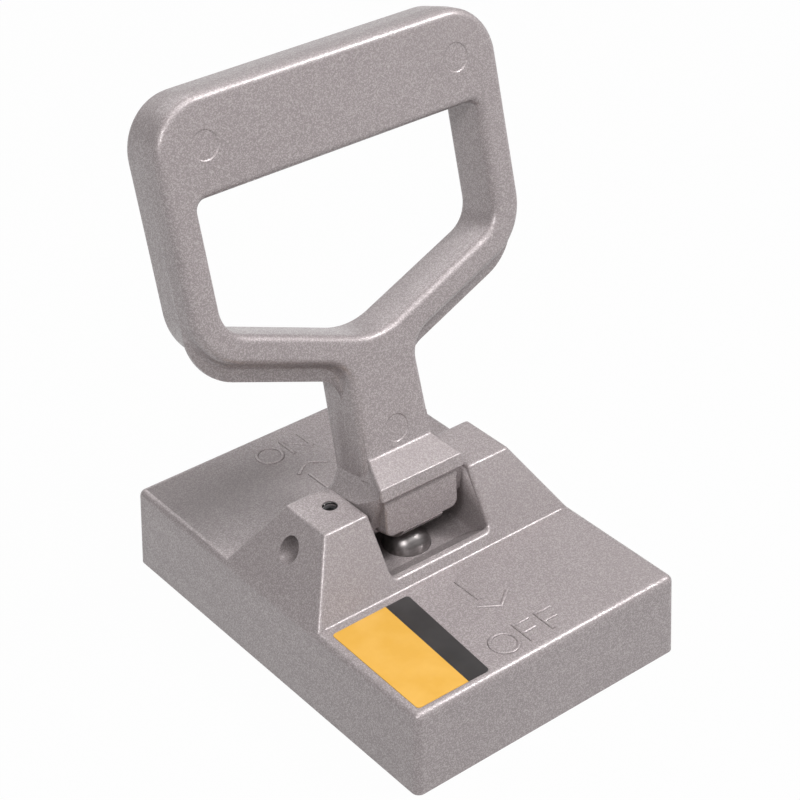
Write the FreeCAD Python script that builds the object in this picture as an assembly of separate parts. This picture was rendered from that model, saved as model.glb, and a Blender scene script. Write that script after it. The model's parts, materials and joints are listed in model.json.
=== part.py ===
import FreeCAD, Part
import math
import os
from FreeCAD import Vector

# Hand-held permanent magnetic lifter. A cast aluminium base holds two magnet packs, and a cast
# lever handle carries the load. Turned from ON to OFF, the handle's toe presses a plunger out
# under the base, which pries the magnets off the steel sheet.
#
# Millimetres, +Z up. The origin is the middle of the magnets' working face. X runs along the
# pivot pin, -Y is the OFF end and +Y the ON end. The handle stands at its ON stop.

# Base casting
BASE_WIDTH = 106.5
BASE_LENGTH = 150.0
BASE_HEIGHT = 29.7
BASE_DRAFT = 2.0  # degrees
BASE_CORNER_RADIUS = 2.6
BASE_EDGE_RADIUS = 2.5

# Ridge across the base, which carries the pin
RIDGE_RISE = 22.5  # above the base's top
RIDGE_FRONT_FOOT = 25.2  # from the pin
RIDGE_BACK_FOOT = 23.4
RIDGE_TOP_FRONT = 11.2
RIDGE_TOP_BACK = 9.2
RIDGE_END_INSET = 15.2
RIDGE_END_DROP = 2.0  # below the base's top, where the ridge's ends meet the sides
RIDGE_ROOT = 6.0  # depth to which the ridge runs down into the base
RIDGE_EDGE_RADIUS = 1.5

# Slot in the ridge for the toe
SLOT_FLOOR_WIDTH = 39.4
SLOT_DRAFT = 1.0  # degrees, each wall
SLOT_FLOOR_DROP = 1.8  # below the base's top
SLOT_FLOOR_FRONT = 13.0  # from the pin to the foot of the front ramp
SLOT_FRONT_REACH = 21.0  # from the pin to the top of the ramp
SILL_RISE = 3.5  # front sill above the base's top
BACK_WALL_RISE = 17.3  # above the base's top
SLOT_CORNER_RADIUS = 2.0

# Pivot
PIVOT_RISE = 13.1  # pin's axis above the base's top
PIN_DIAMETER = 8.0
PIN_LENGTH = 74.0
PIN_SEAT_CLEARANCE = 0.02
PIN_RUNNING_CLEARANCE = 0.05
SET_SCREW_DIAMETER = 5.0
SET_SCREW_INSET = 10.3  # from the pin's end
SET_SCREW_RECESS = 1.6  # below the ridge's top
SET_SCREW_SOCKET = 2.5  # hexagon socket, across flats
SET_SCREW_SOCKET_DEPTH = 2.5
SCREW_CLEARANCE = 0.05
SEAT_GAP = 0.05

# Handle
HANDLE_LEAN = 14.4  # degrees from upright towards ON, at the stop
HANDLE_SWING = 60.0  # degrees from ON to OFF
HANDLE_FRONT = 7.2  # parting plane to the front face
HANDLE_BACK = 11.6  # parting plane to the back face
HANDLE_DRAFT = 2.5  # degrees, both ways from the parting plane
HANDLE_EDGE_RADIUS = 2.8
HANDLE_REACH = 147.9  # pin to the grip's top
GRIP_WIDTH = 126.1
GRIP_DEPTH = 30.8
GRIP_CORNER_RADIUS = 17.6
LEG_WIDTH = 10.8
LIMB_WIDTH = 9.9
LIMB_SLOPE = 20.4  # degrees
LIP_REACH = 5.7  # lip under the limbs, beyond their faces
LIP_THICKNESS = 1.8
LIP_TAPER = 0.2  # of each side, from the lip's root to its edge
COVE_RADIUS = 3.0  # between the lip and the limb
LOOP_BOTTOM = 57.5  # pin to the opening's lowest corner, before rounding
LOOP_TOP_RADIUS = 3.0
LOOP_BOTTOM_RADIUS = 24.5
LOOP_SIDE_RADIUS = 9.8
LIMB_KNEE_RADIUS = 19.5
STEM_WIDTH = 26.2
STEM_FILLET_RADIUS = 9.8
MOULD_MARK_DIAMETER = 9.3
MOULD_MARK_DEPTH = 0.3
MOULD_MARK_INSET = 16.6  # from the grip's sides
MOULD_MARK_DROP = 15.2  # from the grip's top
STEM_MARK_REACH = 26.5  # pin to the mark on the stem

# Toe, hub and cam
HUB_DIAMETER = 14.4
HUB_SIDE_CLEARANCE = 0.3
FLARE_FOOT = 7.8  # pin to where the stem has spread to the hub's width
FLARE_RISE = 4.7  # from there to the corner of the flare, before rounding
FLARE_FOOT_RADIUS = 1.0
FLARE_SINK = 0.5  # of the flare's top inside the stem's sides
FLARE_INSET = 0.3  # of the flare and its cheeks inside the faces of the stem and the nose
FLARE_BACK_RADIUS = 2.4
CHEEK_REACH = 15.0  # cheeks' front under the nose, from the handle's middle plane
CHEEK_FOOT_REACH = 8.7  # lower end of their sloped edges, from the same plane
CHEEK_FOOT_DROP = 1.7  # and below the pin
TOE_WIDTH = 29.1
TOE_EDGE_RADIUS = 0.8
TOE_CORNER_RADIUS = 3.0  # of its lower corners, seen from the front
TOE_FACE_REACH = 14.4  # toe's front face from the handle's middle plane, at its top
TOE_FACE_TOP = 5.9  # pin to the top of that face
TOE_ROOT = 4.0  # toe's back from the handle's middle plane, inside the stem and the hub
NOSE_WIDTH = 33.8
NOSE_REACH = 16.6
NOSE_TOP = 13.4
NOSE_THICKNESS = 4.0
NOSE_BACK_WIDTH = 26.0
NOSE_BACK_TOP = 20.0
NOSE_BACK_RADIUS = 2.0  # between the nose and the stem's face
NOSE_SINK = 0.1  # of the nose's back into the stem
CAM_LIFT = 4.5  # plunger travel for each radian of the handle
CAM_START = 7.8  # pin to the cam's contact, at rest
CAM_PAD_WIDTH = 16.0
CAM_PAD_RISE = 0.15  # of the cam above the toe beside it
CAM_OVERRUN = 2.0  # degrees of cam past the OFF stop, up to the toe's lower edge
CAM_LEAD = 10.0  # degrees of cam before the ON stop
CAM_CLEARANCE = 0.2
STOP_GAP = 0.3  # stem to the back wall

# Release plunger and spring
PLUNGER_HEAD_DIAMETER = 16.0
PLUNGER_GUIDE_LENGTH = 8.6  # of the head below the slot's floor
PLUNGER_SHANK_DIAMETER = 10.0
PLUNGER_TIP_RECESS = 0.6  # above the working face
PLUNGER_TIP_CHAMFER = 1.0
PLUNGER_CLEARANCE = 0.05
PLUNGER_STOP_GAP = 0.3  # head to its shoulder in the bore, at the OFF stop
SPRING_SEAT_HEIGHT = 6.5
SPRING_DIAMETER = 12.6  # at the middle of the wire
SPRING_WIRE = 1.4
SPRING_TURNS = 4.0
SPRING_CLEARANCE = 0.3
SPRING_GRIND = 0.3  # of the wire's radius left to the ground end faces

# Magnet packs
PACK_SIDE_WALL = 9.0
PACK_END_WALL = 9.0
PACK_MIDDLE_HALF = 17.0  # half of the web between the packs
PACK_DEPTH = 18.5
PACK_CLEARANCE = 0.1
POLE_THICKNESS = 9.0
COVER_THICKNESS = 2.0
POLE_SCREW_PLACE = 30.0
POLE_SCREW_DIAMETER = 4.0
POLE_SCREW_HEAD_DIAMETER = 7.8
POLE_SCREW_LENGTH = 25.0
POLE_SCREW_RECESS = 0.3
POLE_SCREW_SOCKET = 2.5
POLE_SCREW_SOCKET_DEPTH = 1.6
TAPPED_HOLE_SPARE = 1.2  # hole beyond the screw's end

# Worked out from the sizes above
RIDGE_TOP = BASE_HEIGHT + RIDGE_RISE
PIVOT_HEIGHT = BASE_HEIGHT + PIVOT_RISE
SLOT_FLOOR = BASE_HEIGHT - SLOT_FLOOR_DROP
SILL_HEIGHT = BASE_HEIGHT + SILL_RISE
BACK_WALL_TOP = BASE_HEIGHT + BACK_WALL_RISE
PIN_RADIUS = PIN_DIAMETER / 2
SET_SCREW_PLACE = PIN_LENGTH / 2 - SET_SCREW_INSET
HUB_RADIUS = HUB_DIAMETER / 2
PLUNGER_PLACE = -CAM_LIFT  # the contact of an involute cam stays this far from its pivot
DOME_RADIUS = PLUNGER_HEAD_DIAMETER / 2
DOME_CENTRE = PIVOT_HEIGHT - CAM_START - CAM_CLEARANCE - DOME_RADIUS
HEAD_UNDERSIDE = SLOT_FLOOR - PLUNGER_GUIDE_LENGTH
HEAD_BORE_RADIUS = DOME_RADIUS + PLUNGER_CLEARANCE
PLUNGER_TRAVEL = CAM_LIFT * math.radians(HANDLE_SWING)
BORE_SHOULDER = HEAD_UNDERSIDE - PLUNGER_TRAVEL - PLUNGER_STOP_GAP
SPRING_BORE_RADIUS = (SPRING_DIAMETER + SPRING_WIRE) / 2 + SPRING_CLEARANCE
SHANK_BORE_RADIUS = PLUNGER_SHANK_DIAMETER / 2 + PLUNGER_CLEARANCE

# Turns that lay a flat drawing into the front view (X, Z) or the side view (Y, Z)
FRONT_VIEW = FreeCAD.Rotation(Vector(1, 0, 0), 90)
SIDE_VIEW = FreeCAD.Rotation(Vector(1, 1, 1), 120)
PLAN_VIEW = FreeCAD.Rotation()
FAR = 200.0  # longer than any cut needs


def drawn(corners, view, origin=Vector(0, 0, 0)):
    """Closed wire through corners (a, b, radius), each corner rounded by its radius."""
    points = [Vector(a, b, 0) for a, b, _ in corners]
    entries = []
    edges = []
    exits = []
    for index, (_, _, radius) in enumerate(corners):
        corner = points[index]
        back = (points[index - 1] - corner).normalize()
        ahead = (points[(index + 1) % len(points)] - corner).normalize()
        half_angle = back.getAngle(ahead) / 2
        reach = radius / math.tan(half_angle)
        entries.append(corner + back * reach)
        exits.append(corner + ahead * reach)
        if radius > 0:
            inward = (back + ahead).normalize()
            middle = corner + inward * (radius / math.sin(half_angle) - radius)
            edges.append(Part.Arc(entries[-1], middle, exits[-1]).toShape())
    for index, leave in enumerate(exits):
        arrive = entries[(index + 1) % len(entries)]
        if leave.distanceToPoint(arrive) > 1e-6:
            edges.append(Part.LineSegment(leave, arrive).toShape())
    wire = Part.Wire(Part.__sortEdges__(edges))
    wire.Placement = FreeCAD.Placement(origin, view)
    return wire


def prism(wire, direction):
    """Solid swept from a flat wire along a vector."""
    return Part.Face(wire).extrude(direction)


def across(wire, width):
    """Solid of a side-view wire, swept evenly to both sides of X = 0."""
    wire.translate(Vector(-width / 2, 0, 0))
    return prism(wire, Vector(width, 0, 0))


def rectangle(half_x, low_y, high_y, radius, height):
    """Level rounded rectangle at a height."""
    corners = [
        (-half_x, low_y, radius),
        (half_x, low_y, radius),
        (half_x, high_y, radius),
        (-half_x, high_y, radius),
    ]
    return drawn(corners, PLAN_VIEW, Vector(0, 0, height))


def turned(corners, place_x, place_y):
    """Solid of revolution about an upright axis, from (radius, height) corners."""
    wire = drawn([(radius, height, 0) for radius, height in corners], FRONT_VIEW)
    solid = Part.Face(wire).revolve(Vector(0, 0, 0), Vector(0, 0, 1), 360)
    solid.translate(Vector(place_x, place_y, 0))
    return solid


def hexagon_socket(flats, place_x, place_y, low, high):
    """Upright hexagonal prism that cuts a screw's socket."""
    radius = flats / math.sqrt(3)
    corners = []
    for side in range(6):
        angle = math.radians(60 * side)
        corners.append((radius * math.cos(angle), radius * math.sin(angle), 0))
    wire = drawn(corners, PLAN_VIEW, Vector(place_x, place_y, low))
    return prism(wire, Vector(0, 0, high - low))


def base_half_width(height):
    """Half of the base's width at a height, after its draft."""
    return BASE_WIDTH / 2 - height * math.tan(math.radians(BASE_DRAFT))


def pack_ends():
    """Front and rear packs: name, and direction along Y away from the middle."""
    return (("front", -1), ("rear", 1))


def pack_span():
    """Nearest and furthest Y of a pack's pocket from the middle of the base."""
    return PACK_MIDDLE_HALF, BASE_LENGTH / 2 - PACK_END_WALL


def pack_half_width():
    """Half of a pack pocket's width."""
    return BASE_WIDTH / 2 - PACK_SIDE_WALL


def pole_places():
    """Names of the three pole bars and the distance of each one's near face from the middle."""
    near, far = pack_span()
    step = (far - near - 2 * PACK_CLEARANCE - POLE_THICKNESS) / 2
    first = near + PACK_CLEARANCE
    return (("inner", first), ("middle", first + step), ("outer", first + 2 * step))


def pole_screw_places():
    """X and Y of every pole screw."""
    places = []
    for _, side in pack_ends():
        for _, near in pole_places():
            for place_x in (-POLE_SCREW_PLACE, POLE_SCREW_PLACE):
                places.append((place_x, side * (near + POLE_THICKNESS / 2)))
    return places


def cam_point(turn):
    """Point of the cam that meets the plunger after a turn in degrees, at rest, from the pin.

    The cam is an involute of a circle of radius CAM_LIFT, so the plunger's travel is even.
    """
    angle = math.radians(turn)
    reach = CAM_START + CAM_LIFT * angle
    y = -CAM_LIFT * math.cos(angle) - reach * math.sin(angle)
    z = CAM_LIFT * math.sin(angle) - reach * math.cos(angle)
    return Vector(0, y, z)


def upright(point):
    """Point of the resting handle turned back to the upright handle."""
    return FreeCAD.Rotation(Vector(1, 0, 0), HANDLE_LEAN).multVec(point)


def crossed(side_corners, front_corners, span):
    """Solid with one outline seen from the side and another seen from the front."""
    side = across(drawn(side_corners, SIDE_VIEW), span)
    front = prism(drawn(front_corners, FRONT_VIEW, Vector(0, span, 0)), Vector(0, -2 * span, 0))
    return side.common(front)


def mirrored(corners):
    """Outline of one side's corners, from the lowest up, and the same on the other side."""
    return corners + [(-a, b, radius) for a, b, radius in reversed(corners)]


def base_block():
    """Drafted block with rounded corners and a rounded top edge."""
    inset = BASE_HEIGHT * math.tan(math.radians(BASE_DRAFT))
    half_x = BASE_WIDTH / 2
    half_y = BASE_LENGTH / 2
    side = mirrored([(half_y, 0, 0), (half_y - inset, BASE_HEIGHT, 0)])
    front = mirrored([(half_x, 0, 0), (half_x - inset, BASE_HEIGHT, 0)])
    block = crossed(side, front, BASE_LENGTH)
    uprights = [edge for edge in block.Edges if edge.BoundBox.ZLength > BASE_HEIGHT / 2]
    block = block.makeFillet(BASE_CORNER_RADIUS, uprights)
    rim = [edge for edge in block.Edges if edge.BoundBox.ZMin > BASE_HEIGHT - 0.01]
    return block.makeFillet(BASE_EDGE_RADIUS, rim)


def ridge():
    """Ridge with sloped faces all round, its ends running out over the base's top edges."""
    root = BASE_HEIGHT - RIDGE_ROOT
    end_foot = BASE_HEIGHT - RIDGE_END_DROP
    side = [
        (RIDGE_BACK_FOOT, root, 0),
        (RIDGE_BACK_FOOT, BASE_HEIGHT, 0),
        (RIDGE_TOP_BACK, RIDGE_TOP, 0),
        (-RIDGE_TOP_FRONT, RIDGE_TOP, 0),
        (-RIDGE_FRONT_FOOT, BASE_HEIGHT, 0),
        (-RIDGE_FRONT_FOOT, root, 0),
    ]
    front = mirrored(
        [
            (base_half_width(root), root, 0),
            (base_half_width(end_foot), end_foot, 0),
            (base_half_width(BASE_HEIGHT) - RIDGE_END_INSET, RIDGE_TOP, 0),
        ]
    )
    return crossed(side, front, BASE_LENGTH)


def back_wall_reach(height):
    """Y of the sloped back wall at a height: the stem's back face, at its stop, and a gap."""
    lean = math.radians(HANDLE_LEAN)
    offset = (HANDLE_BACK + STOP_GAP) / math.cos(lean)
    return offset + (height - PIVOT_HEIGHT) * math.tan(lean)


def slot_half_width(height):
    """Half of the slot's width at a height, after its draft."""
    return SLOT_FLOOR_WIDTH / 2 + (height - SLOT_FLOOR) * math.tan(math.radians(SLOT_DRAFT))


def slot_pocket():
    """Lower space of the slot, between its front ramp, back wall and drafted side walls."""
    above = RIDGE_TOP + RIDGE_RISE
    side = [
        (-SLOT_FLOOR_FRONT, SLOT_FLOOR, SLOT_CORNER_RADIUS),
        (back_wall_reach(SLOT_FLOOR), SLOT_FLOOR, 0),
        (back_wall_reach(above), above, 0),
        (-SLOT_FRONT_REACH, above, 0),
        (-SLOT_FRONT_REACH, SILL_HEIGHT, 0),
    ]
    return crossed(side, slot_walls(SLOT_FLOOR, above), BASE_LENGTH)


def slot_openings():
    """Upper spaces of the slot, open to the front above the sill and to the back above the back
    wall."""
    above = RIDGE_TOP + RIDGE_RISE
    to_front = drawn(slot_walls(SILL_HEIGHT, above), FRONT_VIEW)
    to_back = drawn(slot_walls(BACK_WALL_TOP, above), FRONT_VIEW)
    reach = Vector(0, BASE_LENGTH, 0)
    return [prism(to_front, -reach), prism(to_back, reach)]


def slot_walls(low, high):
    """Front view of the slot between two heights, with rounded lower corners."""
    return mirrored(
        [
            (slot_half_width(low), low, SLOT_CORNER_RADIUS),
            (slot_half_width(high), high, 0),
        ]
    )


def open_ridge():
    """Ridge with the slot's openings, and its edges rounded but for the crease at the base."""
    body = ridge().cut(slot_openings())
    edges = []
    for face in body.Faces:
        box = face.BoundBox
        is_top = box.ZMin > RIDGE_TOP - 0.01
        is_slope = box.ZMin > BASE_HEIGHT - 0.01 and box.XLength > 2 * SLOT_FLOOR_WIDTH
        if is_top or is_slope:
            edges += [edge for edge in face.Edges if edge.BoundBox.ZMax > BASE_HEIGHT + 0.01]
    kept = []
    for edge in edges:
        if not any(edge.isSame(other) for other in kept):
            kept.append(edge)
    return body.makeFillet(RIDGE_EDGE_RADIUS, kept)


def pack_pockets():
    """Pockets under the base for the two magnet packs."""
    near, far = pack_span()
    half_width = pack_half_width()
    pockets = []
    for _, side in pack_ends():
        low_y, high_y = sorted((side * near, side * far))
        pocket = rectangle(half_width, low_y, high_y, 0, 0)
        pockets.append(prism(pocket, Vector(0, 0, PACK_DEPTH)))
    return pockets


def plunger_bore():
    """Stepped bore: the plunger's guide, the shoulder that stops its head, and the spring's seat."""
    above = RIDGE_TOP
    return turned(
        [
            (0, -BASE_EDGE_RADIUS),
            (SHANK_BORE_RADIUS, -BASE_EDGE_RADIUS),
            (SHANK_BORE_RADIUS, SPRING_SEAT_HEIGHT),
            (SPRING_BORE_RADIUS, SPRING_SEAT_HEIGHT),
            (SPRING_BORE_RADIUS, BORE_SHOULDER),
            (HEAD_BORE_RADIUS, BORE_SHOULDER),
            (HEAD_BORE_RADIUS, above),
            (0, above),
        ],
        0,
        PLUNGER_PLACE,
    )


def base_housing():
    """Base casting: block, ridge, slot, pin hole, set screw hole, plunger bore and pockets."""
    casting = base_block().fuse(open_ridge()).removeSplitter()
    pin_hole = Part.makeCylinder(
        PIN_RADIUS + PIN_SEAT_CLEARANCE,
        2 * FAR,
        Vector(-FAR, 0, PIVOT_HEIGHT),
        Vector(1, 0, 0),
    )
    set_screw_hole = Part.makeCylinder(
        SET_SCREW_DIAMETER / 2 + SCREW_CLEARANCE,
        RIDGE_TOP - PIVOT_HEIGHT + RIDGE_RISE,
        Vector(-SET_SCREW_PLACE, 0, PIVOT_HEIGHT),
    )
    screw_holes = []
    depth = POLE_SCREW_RECESS + POLE_SCREW_LENGTH + TAPPED_HOLE_SPARE
    for place_x, place_y in pole_screw_places():
        radius = POLE_SCREW_DIAMETER / 2 + SCREW_CLEARANCE
        screw_holes.append(Part.makeCylinder(radius, depth, Vector(place_x, place_y, 0)))
    cuts = [slot_pocket(), pin_hole, set_screw_hole, plunger_bore()]
    cuts += pack_pockets() + screw_holes
    return casting.cut(cuts)


def pivot_pin():
    """Plain pin with chamfered ends."""
    chamfer = PIN_DIAMETER / 10
    half = PIN_LENGTH / 2
    pin = turned(
        [
            (0, -half),
            (PIN_RADIUS - chamfer, -half),
            (PIN_RADIUS, -half + chamfer),
            (PIN_RADIUS, half - chamfer),
            (PIN_RADIUS - chamfer, half),
            (0, half),
        ],
        0,
        0,
    )
    pin.rotate(Vector(0, 0, 0), Vector(0, 1, 0), 90)
    pin.translate(Vector(0, 0, PIVOT_HEIGHT))
    return pin


def pin_set_screw():
    """Grub screw with a hexagon socket, from the pin up to just below the ridge's top."""
    low = PIVOT_HEIGHT + PIN_RADIUS + SEAT_GAP
    high = RIDGE_TOP - SET_SCREW_RECESS
    radius = SET_SCREW_DIAMETER / 2
    chamfer = SET_SCREW_DIAMETER / 10
    screw = turned(
        [(0, low), (radius - chamfer, low), (radius, low + chamfer), (radius, high), (0, high)],
        -SET_SCREW_PLACE,
        0,
    )
    bottom = high - SET_SCREW_SOCKET_DEPTH
    return screw.cut(hexagon_socket(SET_SCREW_SOCKET, -SET_SCREW_PLACE, 0, bottom, high))


def hub_half_width():
    """Half of the hub's width, a clearance short of the slot's walls."""
    return slot_half_width(PIVOT_HEIGHT - HUB_RADIUS) - HUB_SIDE_CLEARANCE


def flare_radius():
    """Radius of the hollow curve that spreads the stem to the hub's width."""
    run = hub_half_width() - STEM_WIDTH / 2 + FLARE_SINK
    half_turn = math.atan2(run, FLARE_RISE) / 2
    return math.hypot(run, FLARE_RISE) / math.tan(half_turn) - FLARE_FOOT_RADIUS


def handle_outline(lip):
    """Front view of the handle at its parting plane, with a lip added under the limbs."""
    slope = math.tan(math.radians(LIMB_SLOPE))
    half_grip = GRIP_WIDTH / 2
    half_stem = STEM_WIDTH / 2
    limb_foot = LOOP_BOTTOM - (LIMB_WIDTH + lip) / math.cos(math.radians(LIMB_SLOPE))
    side = [
        (TOE_WIDTH / 2, 0, 0),
        (half_stem, limb_foot + slope * half_stem, STEM_FILLET_RADIUS),
        (half_grip, limb_foot + slope * half_grip, LIMB_KNEE_RADIUS),
        (half_grip, HANDLE_REACH, GRIP_CORNER_RADIUS),
    ]
    return drawn(mirrored(side), FRONT_VIEW)


def grip_opening():
    """Front view of the grip's opening at the parting plane."""
    slope = math.tan(math.radians(LIMB_SLOPE))
    half_loop = GRIP_WIDTH / 2 - LEG_WIDTH
    side = [
        (half_loop, LOOP_BOTTOM + slope * half_loop, LOOP_SIDE_RADIUS),
        (half_loop, HANDLE_REACH - GRIP_DEPTH, LOOP_TOP_RADIUS),
    ]
    return drawn([(0, LOOP_BOTTOM, LOOP_BOTTOM_RADIUS)] + mirrored(side), FRONT_VIEW)


def lip_steps(face):
    """Distances from the parting plane to a face, each with the lip's reach there.

    From the parting plane out: the lip's edge, its side, the cove and the limb's plain side.
    """
    root = LIP_THICKNESS / 2
    steps = [(0, LIP_REACH), (root - LIP_TAPER, LIP_REACH)]
    for angle in (90, 60, 30, 0):
        turn = math.radians(angle)
        away = root + COVE_RADIUS * (1 - math.sin(turn))
        steps.append((away, COVE_RADIUS * (1 - math.cos(turn))))
    return steps + [(face, 0)]


def drafted(outlines):
    """Solid through front-view wires, each given with its Y, drawn in or out by the draft."""
    sections = []
    for wire, place_y, sign in outlines:
        change = sign * abs(place_y) * math.tan(math.radians(HANDLE_DRAFT))
        section = wire.makeOffset2D(change) if change else wire
        section.translate(Vector(0, place_y, 0))
        sections.append(section)
    return Part.makeLoft(sections, True, True)


def grip_and_stem():
    """Grip loop and stem, drafted both ways from the parting plane, with rounded face edges."""
    halves = []
    openings = []
    for face, way in ((HANDLE_FRONT, -1), (HANDLE_BACK, 1)):
        steps = lip_steps(face)
        halves.append(drafted([(handle_outline(lip), way * away, -1) for away, lip in steps]))
        openings.append(drafted([(grip_opening(), 0, 1), (grip_opening(), way * face, 1)]))
    body = halves[0].fuse(halves[1]).cut(openings)
    face_edges = []
    for edge in body.Edges:
        box = edge.BoundBox
        on_front = abs(box.YMin + HANDLE_FRONT) < 0.01 and box.YLength < 0.01
        on_back = abs(box.YMin - HANDLE_BACK) < 0.01 and box.YLength < 0.01
        at_hub = box.ZMax < HUB_RADIUS
        if (on_front or on_back) and not at_hub:
            face_edges.append(edge)
    return body.makeFillet(HANDLE_EDGE_RADIUS, face_edges)


def mould_marks():
    """Shallow round marks that the mould's pins left on the front face."""
    inset = GRIP_WIDTH / 2 - MOULD_MARK_INSET
    height = HANDLE_REACH - MOULD_MARK_DROP
    marks = []
    for place_x, place_z in ((-inset, height), (inset, height), (0, STEM_MARK_REACH)):
        start = Vector(place_x, -HANDLE_FRONT - MOULD_MARK_DEPTH, place_z)
        marks.append(
            Part.makeCylinder(
                MOULD_MARK_DIAMETER / 2, 2 * MOULD_MARK_DEPTH, start, Vector(0, 1, 0)
            )
        )
    return marks


def cam_curve(first, last):
    """Edge along the cam between two turns of the handle, on the upright handle."""
    steps = 8
    turns = [first + (last - first) * step / steps for step in range(steps + 1)]
    curve = Part.BSplineCurve()
    curve.interpolate([upright(cam_point(turn)) for turn in turns])
    return curve.toShape()


def chain(points):
    """Straight edges through points, in order."""
    return [Part.LineSegment(a, b).toShape() for a, b in zip(points, points[1:])]


def toe_block():
    """Toe under the nose: flat front face with rounded lower corners, just short of the cam."""
    tip = upright(cam_point(HANDLE_SWING + CAM_OVERRUN))
    tip -= Vector(tip).normalize() * CAM_PAD_RISE
    half = TOE_WIDTH / 2
    side = [
        (tip.y, tip.z, 0),
        (-TOE_ROOT, tip.z, 0),
        (-TOE_ROOT, NOSE_TOP, 0),
        (-HANDLE_FRONT, NOSE_TOP, 0),
        (-TOE_FACE_REACH, TOE_FACE_TOP, 0),
    ]
    front = mirrored([(half, tip.z, TOE_CORNER_RADIUS), (half, NOSE_TOP, 0)])
    block = crossed(side, front, TOE_WIDTH)
    rim = []
    for face in block.Faces:
        box = face.BoundBox
        if box.YMax < -HUB_RADIUS and box.ZMax < TOE_FACE_TOP + 0.01:
            rim += [edge for edge in face.Edges if edge.BoundBox.ZMin < TOE_FACE_TOP - 0.01]
    return block.makeFillet(TOE_EDGE_RADIUS, rim)


def cam_pad():
    """Cam on the middle of the toe's underside, from before the ON stop to past the OFF stop."""
    last = HANDLE_SWING + CAM_OVERRUN
    start = upright(cam_point(-CAM_LEAD))
    end = upright(cam_point(last))
    middle = Vector(0, 0, 0)
    edges = [cam_curve(-CAM_LEAD, last)] + chain([end, middle, start])
    return across(Part.Wire(Part.__sortEdges__(edges)), CAM_PAD_WIDTH)


def nose():
    """Flared lip over the toe, coved below, cut from a side view, a plan and a front view."""
    lip_bottom = NOSE_TOP - NOSE_THICKNESS
    half_nose = NOSE_WIDTH / 2
    half_back = NOSE_BACK_WIDTH / 2
    half_toe = TOE_WIDTH / 2
    stem_face = HANDLE_FRONT - NOSE_SINK
    turn = math.atan2(NOSE_REACH - stem_face, NOSE_BACK_TOP - NOSE_TOP)
    back_top = NOSE_BACK_TOP + NOSE_BACK_RADIUS * math.tan(turn / 2)
    side = drawn(
        [
            (-NOSE_REACH, NOSE_TOP, 0),
            (-NOSE_REACH, lip_bottom, 0),
            (-TOE_FACE_REACH, lip_bottom, NOSE_REACH - TOE_FACE_REACH),
            (-TOE_FACE_REACH, TOE_FACE_TOP, 0),
            (0, TOE_FACE_TOP, 0),
            (0, back_top, 0),
            (-stem_face, back_top, 0),
            (-stem_face, NOSE_BACK_TOP, NOSE_BACK_RADIUS),
        ],
        SIDE_VIEW,
    )
    flare = (half_nose - half_back) / (NOSE_REACH - HANDLE_FRONT)
    half_middle = half_back - flare * HANDLE_FRONT
    plan = drawn(
        [
            (-half_nose, -NOSE_REACH, 0),
            (half_nose, -NOSE_REACH, 0),
            (half_middle, 0, 0),
            (-half_middle, 0, 0),
        ],
        PLAN_VIEW,
    )
    front = mirrored(
        [
            (half_toe, TOE_FACE_TOP, 0),
            (half_toe, lip_bottom, half_nose - half_toe),
            (half_nose, lip_bottom, 0),
            (half_nose, HANDLE_REACH, 0),
        ]
    )
    lip = across(side, NOSE_WIDTH)
    lip = lip.common(prism(plan, Vector(0, 0, HANDLE_REACH)))
    lip = lip.common(prism(drawn(front, FRONT_VIEW), Vector(0, -HANDLE_REACH, 0)))
    showing = [edge for edge in lip.Edges if edge.BoundBox.YMax < -HANDLE_FRONT]
    showing = [edge for edge in showing if edge.BoundBox.ZMax > NOSE_TOP - 0.01]
    return lip.makeFillet(TOE_EDGE_RADIUS, showing)


def flare():
    """Foot of the stem, spread to the hub's width, and its cheeks, drawn in towards the nose."""
    half = hub_half_width()
    half_cheek = NOSE_WIDTH / 2 - FLARE_INSET
    inner = STEM_WIDTH / 2 - FLARE_SINK
    low = -CHEEK_FOOT_DROP
    top = NOSE_BACK_TOP + FLARE_FOOT
    stem_face = HANDLE_FRONT - FLARE_INSET
    back = HANDLE_BACK - FLARE_INSET
    fall = (NOSE_BACK_TOP - NOSE_TOP) / (NOSE_REACH - HANDLE_FRONT)
    side = [
        (-CHEEK_FOOT_REACH, low, 0),
        (back, low, 0),
        (back, top, 0),
        (-stem_face, top, 0),
        (-stem_face, NOSE_BACK_TOP - FLARE_INSET, 0),
        (-CHEEK_REACH, NOSE_TOP + fall * (NOSE_REACH - CHEEK_REACH) - FLARE_INSET, 0),
        (-CHEEK_REACH, NOSE_TOP - NOSE_THICKNESS, 0),
    ]
    front = mirrored(
        [
            (half, low, 0),
            (half, FLARE_FOOT, FLARE_FOOT_RADIUS),
            (inner, FLARE_FOOT + FLARE_RISE, flare_radius()),
            (inner, top, 0),
        ]
    )
    half_back = half + (half - half_cheek) * (stem_face + back) / (CHEEK_REACH - stem_face)
    plan = [
        (-half_cheek, -CHEEK_REACH, 0),
        (half_cheek, -CHEEK_REACH, 0),
        (half_back, back, 0),
        (-half_back, back, 0),
    ]
    spread = prism(drawn(plan, PLAN_VIEW, Vector(0, 0, low)), Vector(0, 0, top - low))
    body = crossed(side, front, 2 * half).common(spread)
    rim = []
    for edge in body.Edges:
        box = edge.BoundBox
        if box.YMin > back - 0.01 and box.ZLength > 0.01:
            rim.append(edge)
    return body.makeFillet(FLARE_BACK_RADIUS, rim)


def hub():
    """Round hub under the stem, as wide as the slot lets it be."""
    half = hub_half_width()
    return Part.makeCylinder(HUB_RADIUS, 2 * half, Vector(-half, 0, 0), Vector(1, 0, 0))


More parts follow.
